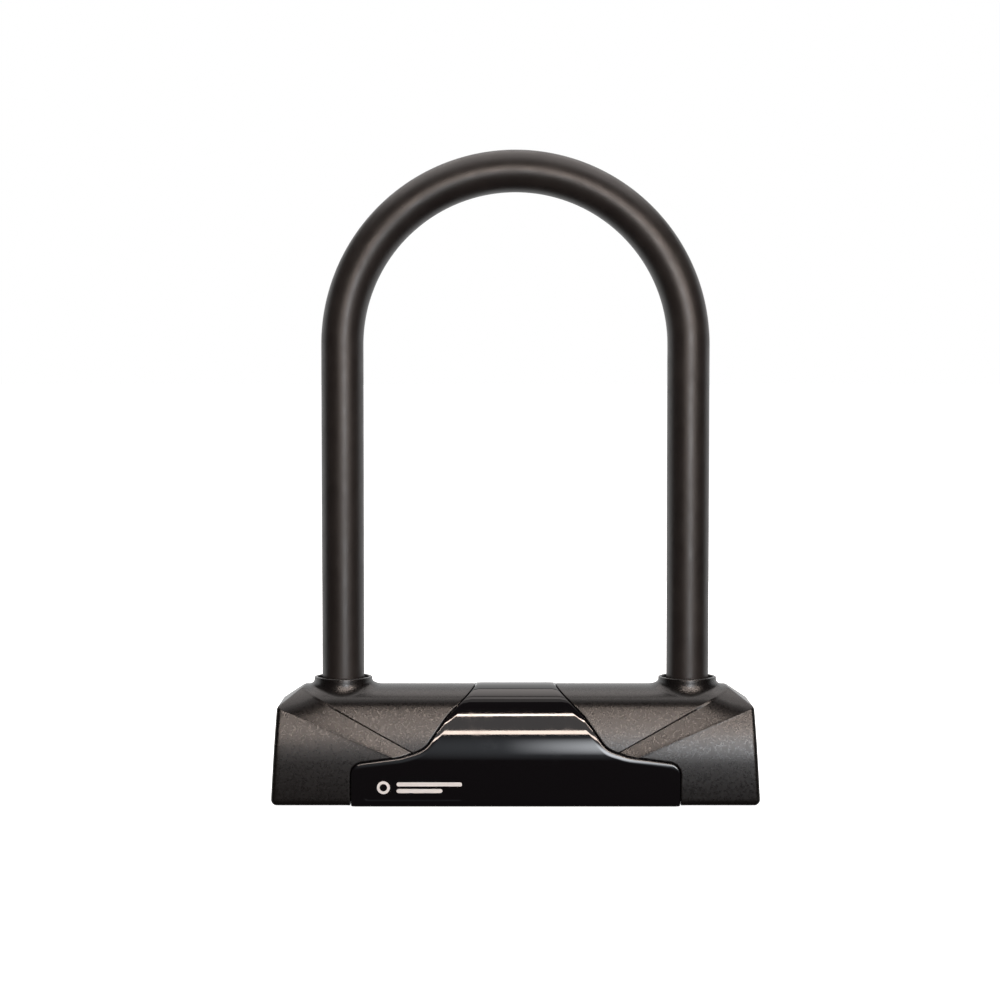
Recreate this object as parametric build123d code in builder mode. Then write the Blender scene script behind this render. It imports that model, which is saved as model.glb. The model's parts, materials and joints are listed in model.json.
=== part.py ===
from build123d import *
import math
import os

# U lock, millimetres. +Z up, X along the crossbar, -Y the front face.
# Origin: middle of the crossbar's underside.
# The shackle stands in the crossbar, closed, with the bolts withdrawn.

# Shackle
LEG_X = 80.0  # leg centre from the middle
BAR_D = 16.0  # hardened bar
SLEEVE_D = 19.6  # outside of the vinyl sleeve
SLEEVE_FIT = 0.02  # radial gap, bar to sleeve
ARCH_Z = 211.8  # centre of the half-round arch
FOOT_Z = 20.3  # lower end of the bar
SLEEVE_Z = 50.0  # lower end of the sleeve
FOOT_CHAMFER = 1.5
NOTCH_DEPTH = 6.0
NOTCH_HEIGHT = 12.4
NOTCH_WIDTH = 18.0

# Casing section
HALF_DEPTH = 22.0
WAIST_Z = 20.0  # the front face is upright below this
CREST_Z = 54.5
FRONT_R = 85.6  # the bulging front face
SHOULDER_R = 9.0
CROWN_R = 29.1
BOTTOM_R = 2.5
WALL = 2.4
CAP_BASE = 0.5  # underside of the end covers
BAND_PROUD = 0.5  # how far the centre cover stands out of the end covers
SEAM_GAP = 0.35

OUTLINE_Y = 30.0  # front outlines are drawn this far behind the middle and cut right through
OUTLINE_LOW = -5.0  # and run down past the underside

# Seam between the centre cover and an end cover, seen from the front: each corner with its rounding
SEAM_TOP = (10.0, 63.0)
SEAM_CORNERS = [((31.5, 41.5), 40.0), ((41.6, 26.6), 12.0), ((52.0, 23.0), 25.0), ((75.5, 19.8), 5.5)]

# End covers, front outline
COVER_FROM = 10.0  # drawn from here, behind the band, and cut back to the seam
END_X = 112.5
END_TOP = (109.7, 45.6)
END_CREST = (87.3, 62.0)  # on the sloped top corner's line, above the crest
END_R = 3.0
END_SIDE_R = 2.0
RIB_T = 2.0
RIB_BLANK = (100.0, 200.0)  # wider and taller than the casing
COVER_RIBS = (58.0, 92.5)
BAND_RIB_X = 32.0

# Facet on the front and back of the end covers: three points its plane passes through, and its upper crease
FACET_LOW = (56.0, -21.95, 23.0)
FACET_STEP = (47.0, -20.8, 25.5)
FACET_TOP = (90.0, -17.0, 49.1)
CREASE_FROM = (38.0, 20.55)
CREASE_TO = (104.0, 56.8)
FACET_CUT_X = 124.0  # the cut for it runs out past the end,
FACET_CUT_Y = 5.0  # and from here forwards
FACET_CUT_DEPTH = 40.0

# Collars
COLLAR_D = 27.0
COLLAR_HOLE_D = 24.0
COLLAR_TOP = 58.0
COLLAR_LOW = 47.2
COLLAR_FILLET = 2.8
LIP_R = 0.4
SEAL_D = 23.8
SEAL_BORE_D = 20.0
SEAL_TOP = 56.8
RUBBER_R = 0.6  # rounding of rubber pieces

# Crossbar tube
TUBE_Z = 29.0
TUBE_D = 34.0
TUBE_BORE_D = 28.0
TUBE_HALF = 100.0
TUBE_FIT = 0.1  # diametral clearance of what sits in the tube
CROSS_FIT = 0.2  # diametral clearance of what stands through a wall
PIN_HOLE_FIT = 0.02  # radial clearance of the retaining pins in the tube
PIN_GROOVE_FIT = 0.05  # and in the housing
FOOT_HOLE_D = 16.9
SADDLE_FIT = 0.1  # radial clearance, cover ribs to tube

# Feet sockets and end plugs
SOCKET_FROM = 62.0
SOCKET_TO = 89.5
BUMPER_Z = 17.5
BUMPER_T = 2.5
BUMPER_D = 15.8
PLUG_FROM = 90.0
PLUG_FLANGE_T = 2.5
PLUG_FLANGE_D = 33.6
PLUG_CHAMFER = 0.8
PLUG_GAP = 1.0  # from the plug to the cover, along the tube

# Cover screws
SCREW_X = 96.0
SCREW_D = 3.0
SCREW_HEAD_D = 6.0
SCREW_HEAD_T = 1.8
SCREW_FLOOR = 0.9
SCREW_TIP = 20.0
BOSS_D = 8.0
BOSS_TOP = 11.8
SCREW_CLEARANCE_D = 3.2
SCREW_HEAD_HOLE_D = 6.4
SCREW_END_GAP = 1.0
DRIVE_R = 1.3
DRIVE_DEPTH = 1.2

# Bolts
BOLT_Z = 34.0
BOLT_D = 11.0
BOLT_FIT_D = 11.2
BOLT_TIP = 71.3
BOLT_ROD_FROM = 16.0
BOLT_CHAMFER = 1.0
TAIL_Z = 31.4
TAIL_T = 5.0
TAIL_INNER_Y = 0.5
TAIL_OUTER_Y = 8.5
TAIL_END_X = -8.0
SLOT_W = 4.6
SLOT_DEPTH_Y = 7.2
GUIDE_FROM = 30.0
GUIDE_TO = 50.0

# Cam: two pins, half a right angle before the middle of their swing
CAM_D = 16.0
CAM_Z = 28.3
CAM_TOP = 31.0
CAM_PIN_D = 4.0
CAM_PIN_TOP = 36.6
CAM_PIN_R = 4.5
PIN_OFFSET = CAM_PIN_R * math.sin(math.radians(45))
TANG = (9.0, 3.4)
TANG_DEPTH = 2.2
TANG_FIT = 0.2

# Lock core
HOUSING_D = 24.0
HOUSING_Z = 3.9
HOUSING_TOP = 27.5
HOUSING_LIP_T = 1.2
HOUSING_CHAMFER = 0.5
KEY_MOUTH_D = 11.0
CORE_BORE_D = 15.1
CORE_D = 15.0
DRILL_PLATE_Z = 5.2
DRILL_PLATE_T = 1.2
DRILL_PLATE_D = 14.9
PLATE_SLOT = (7.8, 3.2)
CORE_Z = 6.5
CORE_POCKET_D = 12.2
CORE_POCKET_TOP = 25.0
NECK_D = 13.4
DISC_D = 12.0
DISC_T = 1.3
SPACER_T = 0.55
DISC_PITCH = 1.95
DISC_COUNT = 9
DISC_FIRST_Z = 6.6
KEY_SLOT = (7.4, 3.0)
SPACER_HOLE_D = 8.8
SIDEBAR = (1.9, 2.3, 16.6)
SIDEBAR_INNER = 5.1
SIDEBAR_SLOT_W = 2.1
SIDEBAR_CHAMFER = 0.5
SIDEBAR_END_FIT = 0.1  # gap at each end of the sidebar in the plug
HOUSING_GROOVE = 2.0  # length of the housing's groove cut, half of it past the bore
PLUG_SLOT = 4.0  # and of the plug's
GATE_DEPTH = 1.1
SIDEBAR_Z = 7.2
CIRCLIP_D = 17.4
CIRCLIP_T = 0.6
CIRCLIP_BORE_D = 13.5
CIRCLIP_GAP = 3.0
RETAINER_D = 4.0
RETAINER_X = 12.0
RETAINER_Z = 19.0
RETAINER_HALF = 13.0

# Keyway bezel and shutter
BEZEL = (52.0, 22.0)
BEZEL_Z = 0.4
BEZEL_FLANGE = (57.0, 27.0)
BEZEL_FLANGE_Z = 2.65
BEZEL_TOP = 3.7
BEZEL_R = 2.0
TRACK_FROM = -10.0
TRACK_TO = 25.0
TRACK_W = 14.8
TRACK_Z = 1.0
TRACK_TOP = 2.6
TRACK_MOUTH_W = 12.0
KEY_OPENING_D = 12.0
SHUTTER = (18.0, 14.2, 1.3)
SHUTTER_Z = 1.15
SHUTTER_GRIP_W = 10.0
GRIP_BARS = 3
GRIP_PITCH = 3.0
GRIP_T = 1.2
GRIP_Z = 0.55


def save(piece, name):
    """Label a finished piece and write it."""
    piece.part.label = name
    export_step(piece.part, "parts/" + name + ".step")


def save_pair(piece, name):
    """Write the right-hand piece, and its mirror image as the left-hand one."""
    with BuildPart() as left:
        mirror(piece.part, about=Plane.YZ)
    save(piece, "right_" + name)
    save(left, "left_" + name)


def circles_meet(a, a_radius, b, b_radius):
    """Upper point where two circles in a plane cross."""
    gap = Vector(*b) - Vector(*a)
    along = (gap.length**2 + a_radius**2 - b_radius**2) / (2 * gap.length)
    aside = math.sqrt(a_radius**2 - along**2)
    unit = gap.normalized()
    points = [Vector(*a) + unit * along + Vector(-unit.Y, unit.X) * side * aside for side in (1, -1)]
    return max(points, key=lambda point: point.Y)


def casing_face(start_x, grow, floor, inset=0):
    """Section of the casing across the crossbar, in a YZ plane, stood out by grow and cut flat at floor.

    With an inset it is the hollow inside a wall that thick."""
    depth = HALF_DEPTH + grow
    front_r = FRONT_R + grow
    crown_r = CROWN_R + grow
    shoulder_r = SHOULDER_R + grow
    front_centre = Vector(depth - front_r, WAIST_Z)
    crown_centre = Vector(0, CREST_Z + grow - crown_r)
    shoulder = circles_meet(front_centre, front_r - shoulder_r, crown_centre, crown_r - shoulder_r)
    low = shoulder + (shoulder - front_centre).normalized() * shoulder_r
    high = shoulder + (shoulder - crown_centre).normalized() * shoulder_r
    with BuildSketch(Plane.YZ.offset(start_x)) as section:
        with BuildLine():
            Line((-depth, floor), (depth, floor))
            Line((depth, floor), (depth, WAIST_Z))
            front = TangentArc((depth, WAIST_Z), (low.X, low.Y), tangent=(0, 1))
            turn = TangentArc((low.X, low.Y), (high.X, high.Y), tangent=front % 1)
            crown = TangentArc((high.X, high.Y), (-high.X, high.Y), tangent=turn % 1)
            turn_back = TangentArc((-high.X, high.Y), (-low.X, low.Y), tangent=crown % 1)
            TangentArc((-low.X, low.Y), (-depth, WAIST_Z), tangent=turn_back % 1)
            Line((-depth, WAIST_Z), (-depth, floor))
        make_face()
        fillet(section.vertices().group_by(Axis.Y)[0], radius=BOTTOM_R)
        if inset:
            offset(amount=-inset, mode=Mode.REPLACE)
    return section.sketch


def seam_face(clear):
    """Front outline of the centre cover, seen along Y, stood out by clear."""
    corners = [corner for corner, radius in SEAM_CORNERS]
    foot_x = corners[-1][0]
    with BuildSketch(Plane.XZ.offset(-OUTLINE_Y)) as outline:
        with BuildLine():
            Polyline(
                (0, OUTLINE_LOW),
                (0, SEAM_TOP[1]),
                SEAM_TOP,
                *corners,
                (foot_x, OUTLINE_LOW),
                close=True,
            )
        make_face()
        for corner, radius in SEAM_CORNERS:
            fillet(outline.vertices().sort_by_distance(corner)[0], radius=radius)
        mirror(about=Plane.YZ)
        if clear:
            offset(amount=clear, mode=Mode.REPLACE)
    return outline.sketch


def end_face(inset):
    """Front outline of the right end cover, seen along Y, moved in by inset."""
    with BuildSketch(Plane.XZ.offset(-OUTLINE_Y)) as outline:
        with BuildLine():
            Polyline(
                (COVER_FROM, CAP_BASE),
                (END_X, CAP_BASE),
                END_TOP,
                END_CREST,
                (COVER_FROM, END_CREST[1]),
                close=True,
            )
        make_face()
        for corner in ((END_X, CAP_BASE), END_TOP):
            fillet(outline.vertices().sort_by_distance(corner)[0], radius=END_R)
        if inset:
            offset(amount=-inset, mode=Mode.REPLACE)
    return outline.sketch


def facet_tool():
    """Wedge in front of the facet's plane and below its upper crease."""
    low = Vector(*FACET_LOW)
    across = Vector(*FACET_STEP) - low
    along = Vector(*FACET_TOP) - low
    normal = along.cross(across)
    if normal.Y > 0:
        normal = -normal
    with BuildPart() as tool:
        with BuildSketch(Plane.XZ.offset(FACET_CUT_Y)):
            with BuildLine():
                Polyline(CREASE_FROM, CREASE_TO, (FACET_CUT_X, 0), (CREASE_FROM[0], 0), close=True)
            make_face()
        extrude(amount=FACET_CUT_DEPTH)
        split(bisect_by=Plane(origin=low, z_dir=normal), keep=Keep.TOP)
    return tool.part


def tube_cut(start_x, length, diameter, z=TUBE_Z, mode=Mode.SUBTRACT):
    """Round bar or bore along the crossbar."""
    with BuildSketch(Plane.YZ.offset(start_x)) as ring:
        with Locations((0, z)):
            Circle(diameter / 2)
    return extrude(ring.sketch, amount=length, mode=mode)


def post(x, low, high, diameter, mode=Mode.ADD, y=0):
    """Upright round bar or bore."""
    with BuildSketch(Plane.XY.offset(low)) as disc:
        with Locations((x, y)):
            Circle(diameter / 2)
    return extrude(disc.sketch, amount=high - low, mode=mode)


def block(x, y, low, high, length, width, mode=Mode.ADD):
    """Upright rectangular block or pocket."""
    with BuildSketch(Plane.XY.offset(low)) as base:
        with Locations((x, y)):
            Rectangle(length, width)
    return extrude(base.sketch, amount=high - low, mode=mode)


def rib_plate(rib_x, mode):
    """Wall across the casing with the tube's hole in it, as a saddle for the tube."""
    with BuildSketch(Plane.YZ.offset(rib_x)) as plate:
        Rectangle(*RIB_BLANK)
        with Locations((0, TUBE_Z)):
            Circle(TUBE_D / 2 + SADDLE_FIT, mode=Mode.SUBTRACT)
    return extrude(plate.sketch, amount=RIB_T, mode=mode)


def is_collar_root(edge):
    """Whether an edge is the closed curve where the collar leaves the crown."""
    box = edge.bounding_box()
    round_collar = abs(box.size.X - COLLAR_D) < 0.01 and abs(box.size.Y - COLLAR_D) < 0.01
    return round_collar and box.size.Z > 0.1


def make_end_cover():
    """Grained end shell: drafted end, sloped top corner, raised collar, facet, ribs that saddle the tube."""
    length = END_X + OUTLINE_Y - COVER_FROM
    facet = facet_tool()
    with BuildPart() as hollow:
        extrude(casing_face(COVER_FROM, 0, CAP_BASE, WALL), amount=length)
        extrude(end_face(WALL), amount=2 * OUTLINE_Y, mode=Mode.INTERSECT)
        for rib_x in COVER_RIBS:
            rib_plate(rib_x, Mode.SUBTRACT)
        post(SCREW_X, CAP_BASE, BOSS_TOP, BOSS_D, Mode.SUBTRACT)
        post(LEG_X, COLLAR_LOW, COLLAR_TOP, COLLAR_D, Mode.SUBTRACT)
    with BuildPart() as cover:
        extrude(casing_face(COVER_FROM, 0, CAP_BASE), amount=length)
        extrude(end_face(0), amount=2 * OUTLINE_Y, mode=Mode.INTERSECT)
        end = cover.faces().filter_by(GeomType.PLANE).sort_by(Axis.X)[-1]
        fillet(end.edges().filter_by(lambda edge: abs(edge.center().Y) > HALF_DEPTH / 2), radius=END_SIDE_R)
        post(LEG_X, TUBE_Z, COLLAR_TOP, COLLAR_D)
        fillet(cover.edges().filter_by(is_collar_root), radius=COLLAR_FILLET)
        fillet(cover.faces().sort_by(Axis.Z)[-1].edges(), radius=LIP_R)
        add(facet, mode=Mode.SUBTRACT)
        add(mirror(facet, about=Plane.XZ, mode=Mode.PRIVATE), mode=Mode.SUBTRACT)
        add(hollow.part, mode=Mode.SUBTRACT)
        post(LEG_X, TUBE_Z, COLLAR_TOP, COLLAR_HOLE_D, Mode.SUBTRACT)
        tube_cut(COVER_FROM, TUBE_HALF + PLUG_FLANGE_T + PLUG_GAP - COVER_FROM, TUBE_D + 2 * SADDLE_FIT)
        extrude(seam_face(SEAM_GAP), amount=2 * OUTLINE_Y, mode=Mode.SUBTRACT)
        post(SCREW_X, CAP_BASE, BOSS_TOP, SCREW_CLEARANCE_D, Mode.SUBTRACT)
        post(SCREW_X, CAP_BASE, SCREW_FLOOR + SCREW_HEAD_T, SCREW_HEAD_HOLE_D, Mode.SUBTRACT)
    return cover


def make_centre_cover():
    """Gloss band that wraps the middle of the crossbar, with the keyway's opening in its underside."""
    with BuildPart() as hollow:
        extrude(casing_face(-LEG_X, BAND_PROUD, 0, WALL), amount=2 * LEG_X)
        for rib_x in (-BAND_RIB_X - RIB_T, BAND_RIB_X):
            rib_plate(rib_x, Mode.SUBTRACT)
    with BuildPart() as cover:
        extrude(casing_face(-LEG_X, BAND_PROUD, 0), amount=2 * LEG_X)
        add(hollow.part, mode=Mode.SUBTRACT)
        extrude(seam_face(0), amount=2 * OUTLINE_Y, mode=Mode.INTERSECT)
        block(0, 0, 0, BEZEL_FLANGE_Z, BEZEL[0] + CROSS_FIT, BEZEL[1] + CROSS_FIT, Mode.SUBTRACT)
    return cover


def make_tube():
    """Hardened tube with a hole for each foot, one for the lock core, and small ones for pins and screws."""
    with BuildPart() as tube:
        tube_cut(-TUBE_HALF, 2 * TUBE_HALF, TUBE_D, mode=Mode.ADD)
        tube_cut(-TUBE_HALF, 2 * TUBE_HALF, TUBE_BORE_D)
        for side in (-1, 1):
            post(side * LEG_X, TUBE_Z, TUBE_Z + TUBE_D, FOOT_HOLE_D, Mode.SUBTRACT)
            post(side * SCREW_X, 0, TUBE_Z, SCREW_CLEARANCE_D, Mode.SUBTRACT)
            with BuildSketch(Plane.XZ.offset(-OUTLINE_Y)) as pin_hole:
                with Locations((side * RETAINER_X, RETAINER_Z)):
                    Circle(RETAINER_D / 2 + PIN_HOLE_FIT)
            extrude(pin_hole.sketch, amount=2 * OUTLINE_Y, mode=Mode.SUBTRACT)
        post(0, 0, TUBE_Z, HOUSING_D + CROSS_FIT, Mode.SUBTRACT)
    return tube


def make_end_plug():
    """Steel plug in the tube's end, with a flange over the rim and a hole for the cover screw."""
    with BuildPart() as plug:
        tube_cut(PLUG_FROM, TUBE_HALF - PLUG_FROM, TUBE_BORE_D - TUBE_FIT, mode=Mode.ADD)
        tube_cut(TUBE_HALF, PLUG_FLANGE_T, PLUG_FLANGE_D, mode=Mode.ADD)
        chamfer(plug.faces().sort_by(Axis.X)[-1].edges(), length=PLUG_CHAMFER)
        post(SCREW_X, 0, SCREW_TIP + SCREW_END_GAP, SCREW_D + TUBE_FIT, Mode.SUBTRACT)
    return plug


def make_foot_socket():
    """Block in the tube: a blind upright hole for the foot, and a bore for the bolt's nose."""
    with BuildPart() as socket:
        tube_cut(SOCKET_FROM, SOCKET_TO - SOCKET_FROM, TUBE_BORE_D - TUBE_FIT, mode=Mode.ADD)
        post(LEG_X, BUMPER_Z, TUBE_Z + TUBE_D, FOOT_HOLE_D, Mode.SUBTRACT)
        tube_cut(SOCKET_FROM, LEG_X - SOCKET_FROM, BOLT_FIT_D, BOLT_Z)
    return socket


def make_foot_bumper():
    """Rubber pad under the foot."""
    with BuildPart() as bumper:
        post(LEG_X, BUMPER_Z, BUMPER_Z + BUMPER_T, BUMPER_D)
        fillet(bumper.faces().sort_by(Axis.Z)[-1].edges(), radius=RUBBER_R)
    return bumper


def make_bolt():
    """Round deadbolt with a flat slotted tail behind it, which the cam's pin drives."""
    tail_length = BOLT_ROD_FROM + BOLT_D / 2 - TAIL_END_X
    tail_width = TAIL_OUTER_Y - TAIL_INNER_Y
    tail_y = (TAIL_OUTER_Y + TAIL_INNER_Y) / 2
    tail_top = TAIL_Z + TAIL_T
    slot_width = 2 * (SLOT_DEPTH_Y - TAIL_INNER_Y)
    with BuildPart() as bolt:
        tube_cut(BOLT_ROD_FROM, BOLT_TIP - BOLT_ROD_FROM, BOLT_D, BOLT_Z, Mode.ADD)
        chamfer(bolt.faces().sort_by(Axis.X)[-1].edges(), length=BOLT_CHAMFER)
        block(TAIL_END_X + tail_length / 2, tail_y, TAIL_Z, tail_top, tail_length, tail_width)
        block(-PIN_OFFSET, TAIL_INNER_Y, TAIL_Z, tail_top, SLOT_W, slot_width, Mode.SUBTRACT)
    return bolt


def make_bolt_guide():
    """Bearing in the tube for the bolt."""
    with BuildPart() as guide:
        tube_cut(GUIDE_FROM, GUIDE_TO - GUIDE_FROM, TUBE_BORE_D - TUBE_FIT, mode=Mode.ADD)
        tube_cut(GUIDE_FROM, GUIDE_TO - GUIDE_FROM, BOLT_FIT_D, BOLT_Z)
    return guide


def make_collar_seal():
    """Rubber ring sunk in the collar, round the sleeve."""
    with BuildPart() as seal:
        post(LEG_X, COLLAR_LOW, SEAL_TOP, SEAL_D)
        fillet(seal.faces().sort_by(Axis.Z)[-1].edges(), radius=RUBBER_R)
        post(LEG_X, COLLAR_LOW, SEAL_TOP, SEAL_BORE_D, Mode.SUBTRACT)
    return seal


def shackle_path(low):
    """Centreline of the shackle: a straight leg up from low, the half-round arch, and the other leg down."""
    with BuildLine(Plane.XZ) as path:
        leg = Line((LEG_X, low), (LEG_X, ARCH_Z))
        JernArc(leg @ 1, (0, 1), LEG_X, 180)
        Line((-LEG_X, ARCH_Z), (-LEG_X, low))
    return path.wire()


def make_shackle_bar():
    """Bent hardened bar with bevelled feet, and a notch for the bolt on the inner side of each."""
    bevel_top = FOOT_Z + FOOT_CHAMFER
    notch_low = BOLT_Z - NOTCH_HEIGHT / 2
    with BuildPart() as bar:
        with BuildSketch(Plane.XY.offset(bevel_top)) as section:
            with Locations((LEG_X, 0)):
                Circle(BAR_D / 2)
        sweep(section.sketch, path=shackle_path(bevel_top))
        for side in (-1, 1):
            with BuildSketch(Plane.XY.offset(bevel_top)) as foot:
                with Locations((side * LEG_X, 0)):
                    Circle(BAR_D / 2)
            extrude(foot.sketch, amount=-FOOT_CHAMFER, taper=45)
            notch_x = side * (LEG_X - BAR_D / 2 + NOTCH_DEPTH / 2)
            block(notch_x, 0, notch_low, notch_low + NOTCH_HEIGHT, NOTCH_DEPTH, NOTCH_WIDTH, Mode.SUBTRACT)
    return bar


def make_shackle_sleeve():
    """Vinyl sleeve over the bar."""
    with BuildPart() as sleeve:
        with BuildSketch(Plane.XY.offset(SLEEVE_Z)) as section:
            with Locations((LEG_X, 0)):
                Circle(SLEEVE_D / 2)
                Circle(BAR_D / 2 + SLEEVE_FIT, mode=Mode.SUBTRACT)
        sweep(section.sketch, path=shackle_path(SLEEVE_Z))
    return sleeve


def make_housing():
    """Core housing: a lip below, a through bore, grooves for the retaining pins and one for the sidebar."""
    with BuildPart() as housing:
        post(0, HOUSING_Z, HOUSING_TOP, HOUSING_D)
        chamfer(housing.faces().sort_by(Axis.Z)[0].edges(), length=HOUSING_CHAMFER)
        post(0, HOUSING_Z, HOUSING_TOP, KEY_MOUTH_D, Mode.SUBTRACT)
        post(0, HOUSING_Z + HOUSING_LIP_T, HOUSING_TOP, CORE_BORE_D, Mode.SUBTRACT)
        block(CORE_BORE_D / 2, 0, SIDEBAR_Z, HOUSING_TOP, HOUSING_GROOVE, SIDEBAR_SLOT_W, Mode.SUBTRACT)
        for side in (-1, 1):
            with BuildSketch(Plane.XZ.offset(-OUTLINE_Y)) as groove:
                with Locations((side * RETAINER_X, RETAINER_Z)):
                    Circle(RETAINER_D / 2 + PIN_GROOVE_FIT)
            extrude(groove.sketch, amount=2 * OUTLINE_Y, mode=Mode.SUBTRACT)
    return housing


def make_key_plug():
    """Turning plug: a pocket for the discs, a slot for the sidebar, and a slotted neck for the cam's tang."""
    slot_low = SIDEBAR_Z - SIDEBAR_END_FIT
    slot_top = SIDEBAR_Z + SIDEBAR[2] + SIDEBAR_END_FIT
    tang_low = CAM_Z - TANG_DEPTH - TANG_FIT / 2
    with BuildPart() as plug:
        post(0, CORE_Z, HOUSING_TOP, CORE_D)
        post(0, HOUSING_TOP, CAM_Z, NECK_D)
        post(0, CORE_Z, CORE_POCKET_TOP, CORE_POCKET_D, Mode.SUBTRACT)
        block(0, CORE_D / 2, slot_low, slot_top, SIDEBAR_SLOT_W, PLUG_SLOT, Mode.SUBTRACT)
        block(0, 0, tang_low, CAM_Z, TANG[0] + TANG_FIT, TANG[1] + TANG_FIT, Mode.SUBTRACT)
    return plug


def make_drill_plate():
    """Hardened plate in front of the discs, with the key's slot."""
    with BuildPart() as plate:
        post(0, DRILL_PLATE_Z, DRILL_PLATE_Z + DRILL_PLATE_T, DRILL_PLATE_D)
        block(0, 0, DRILL_PLATE_Z, DRILL_PLATE_Z + DRILL_PLATE_T, *PLATE_SLOT, Mode.SUBTRACT)
    return plate


def make_discs():
    """Stack of detainer discs with their gates in line under the sidebar."""
    with BuildPart() as discs:
        for number in range(DISC_COUNT):
            low = DISC_FIRST_Z + number * DISC_PITCH
            post(0, low, low + DISC_T, DISC_D)
            block(0, 0, low, low + DISC_T, *KEY_SLOT, Mode.SUBTRACT)
            block(0, DISC_D / 2, low, low + DISC_T, SIDEBAR_SLOT_W, 2 * GATE_DEPTH, Mode.SUBTRACT)
    return discs


def make_spacers():
    """Spacer between each disc and the next."""
    with BuildPart() as spacers:
        for number in range(DISC_COUNT - 1):
            low = DISC_FIRST_Z + number * DISC_PITCH + DISC_T + (DISC_PITCH - DISC_T - SPACER_T) / 2
            post(0, low, low + SPACER_T, DISC_D)
            post(0, low, low + SPACER_T, SPACER_HOLE_D, Mode.SUBTRACT)
            block(0, DISC_D / 2, low, low + SPACER_T, SIDEBAR_SLOT_W, 2 * GATE_DEPTH, Mode.SUBTRACT)
    return spacers


def make_sidebar():
    """Bar that the gates let drop, which frees the plug to turn."""
    middle_y = SIDEBAR_INNER + SIDEBAR[1] / 2
    with BuildPart() as sidebar:
        block(0, middle_y, SIDEBAR_Z, SIDEBAR_Z + SIDEBAR[2], SIDEBAR[0], SIDEBAR[1])
        chamfer(sidebar.edges().filter_by(Axis.Z).sort_by(Axis.Y)[-2:], length=SIDEBAR_CHAMFER)
    return sidebar


def make_circlip():
    """Open ring round the plug's neck, which rests on the housing."""
    low = (HOUSING_TOP + CAM_Z - CIRCLIP_T) / 2
    with BuildPart() as circlip:
        post(0, low, low + CIRCLIP_T, CIRCLIP_D)
        post(0, low, low + CIRCLIP_T, CIRCLIP_BORE_D, Mode.SUBTRACT)
        block(-CIRCLIP_D / 2, 0, HOUSING_TOP, CAM_Z, CIRCLIP_D / 2, CIRCLIP_GAP, Mode.SUBTRACT)
    return circlip


def make_cam():
    """Disc on the plug with two pins, opposite each other, that stand in the bolts' slots."""
    with BuildPart() as cam:
        post(0, CAM_Z, CAM_TOP, CAM_D)
        block(0, 0, CAM_Z - TANG_DEPTH, CAM_Z, *TANG)
        for side in (-1, 1):
            post(-side * PIN_OFFSET, CAM_TOP, CAM_PIN_TOP, CAM_PIN_D, y=side * PIN_OFFSET)
    return cam


def make_retainers():
    """The two pins through the tube, half in the housing's grooves."""
    with BuildPart() as pins:
        for side in (-1, 1):
            with BuildSketch(Plane.XZ.offset(-RETAINER_HALF)) as pin:
                with Locations((side * RETAINER_X, RETAINER_Z)):
                    Circle(RETAINER_D / 2)
            extrude(pin.sketch, amount=2 * RETAINER_HALF)
    return pins


def make_screws():
    """One countersunk screw under each end cover."""
    head_top = SCREW_FLOOR + SCREW_HEAD_T
    with BuildPart() as screws:
        for side in (-1, 1):
            post(side * SCREW_X, SCREW_FLOOR, head_top, SCREW_HEAD_D)
            post(side * SCREW_X, head_top, SCREW_TIP, SCREW_D)
            with BuildSketch(Plane.XY.offset(SCREW_FLOOR)) as drive:
                with Locations((side * SCREW_X, 0)):
                    RegularPolygon(radius=DRIVE_R, side_count=6)
            extrude(drive.sketch, amount=DRIVE_DEPTH, mode=Mode.SUBTRACT)
    return screws


def make_bezel():
    """Keyway surround in the underside: a flange inside the band, and an undercut track for the shutter."""
    track_x = (TRACK_FROM + TRACK_TO) / 2
    track_length = TRACK_TO - TRACK_FROM
    with BuildPart() as bezel:
        block(0, 0, BEZEL_Z, BEZEL_FLANGE_Z, *BEZEL)
        fillet(bezel.edges().filter_by(Axis.Z), radius=BEZEL_R)
        block(0, 0, BEZEL_FLANGE_Z, BEZEL_TOP, *BEZEL_FLANGE)
        block(track_x, 0, TRACK_Z, TRACK_TOP, track_length, TRACK_W, Mode.SUBTRACT)
        block(track_x, 0, BEZEL_Z, TRACK_Z, track_length, TRACK_MOUTH_W, Mode.SUBTRACT)
        post(0, TRACK_TOP, BEZEL_TOP, KEY_OPENING_D, Mode.SUBTRACT)
    return bezel


def make_shutter():
    """Dust shutter that slides along the bezel, with grip bars that stay inside its face."""
    with BuildPart() as shutter:
        block(0, 0, SHUTTER_Z, SHUTTER_Z + SHUTTER[2], SHUTTER[0], SHUTTER[1])
        for number in range(GRIP_BARS):
            bar_x = (number - (GRIP_BARS - 1) / 2) * GRIP_PITCH
            block(bar_x, 0, GRIP_Z, SHUTTER_Z, GRIP_T, SHUTTER_GRIP_W)
    return shutter


os.makedirs("parts", exist_ok=True)
save_pair(make_end_cover(), "cover")
save(make_centre_cover(), "centre_cover")
save(make_tube(), "crossbar_tube")
save_pair(make_end_plug(), "end_plug")
save_pair(make_foot_socket(), "foot_socket")
save_pair(make_foot_bumper(), "foot_bumper")
save_pair(make_bolt_guide(), "bolt_guide")
save_pair(make_collar_seal(), "collar_seal")
save(make_shackle_bar(), "shackle_bar")
save(make_shackle_sleeve(), "shackle_sleeve")
save(make_housing(), "lock_housing")
save(make_key_plug(), "key_plug")
save(make_drill_plate(), "drill_plate")
save(make_discs(), "detainer_discs")
save(make_spacers(), "disc_spacers")
save(make_sidebar(), "sidebar")
save(make_circlip(), "core_circlip")
save(make_cam(), "drive_cam")
save(make_retainers(), "housing_retainer_pins")
save(make_screws(), "cover_screws")
save(make_bezel(), "keyway_bezel")
save(make_shutter(), "dust_shutter")

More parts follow.
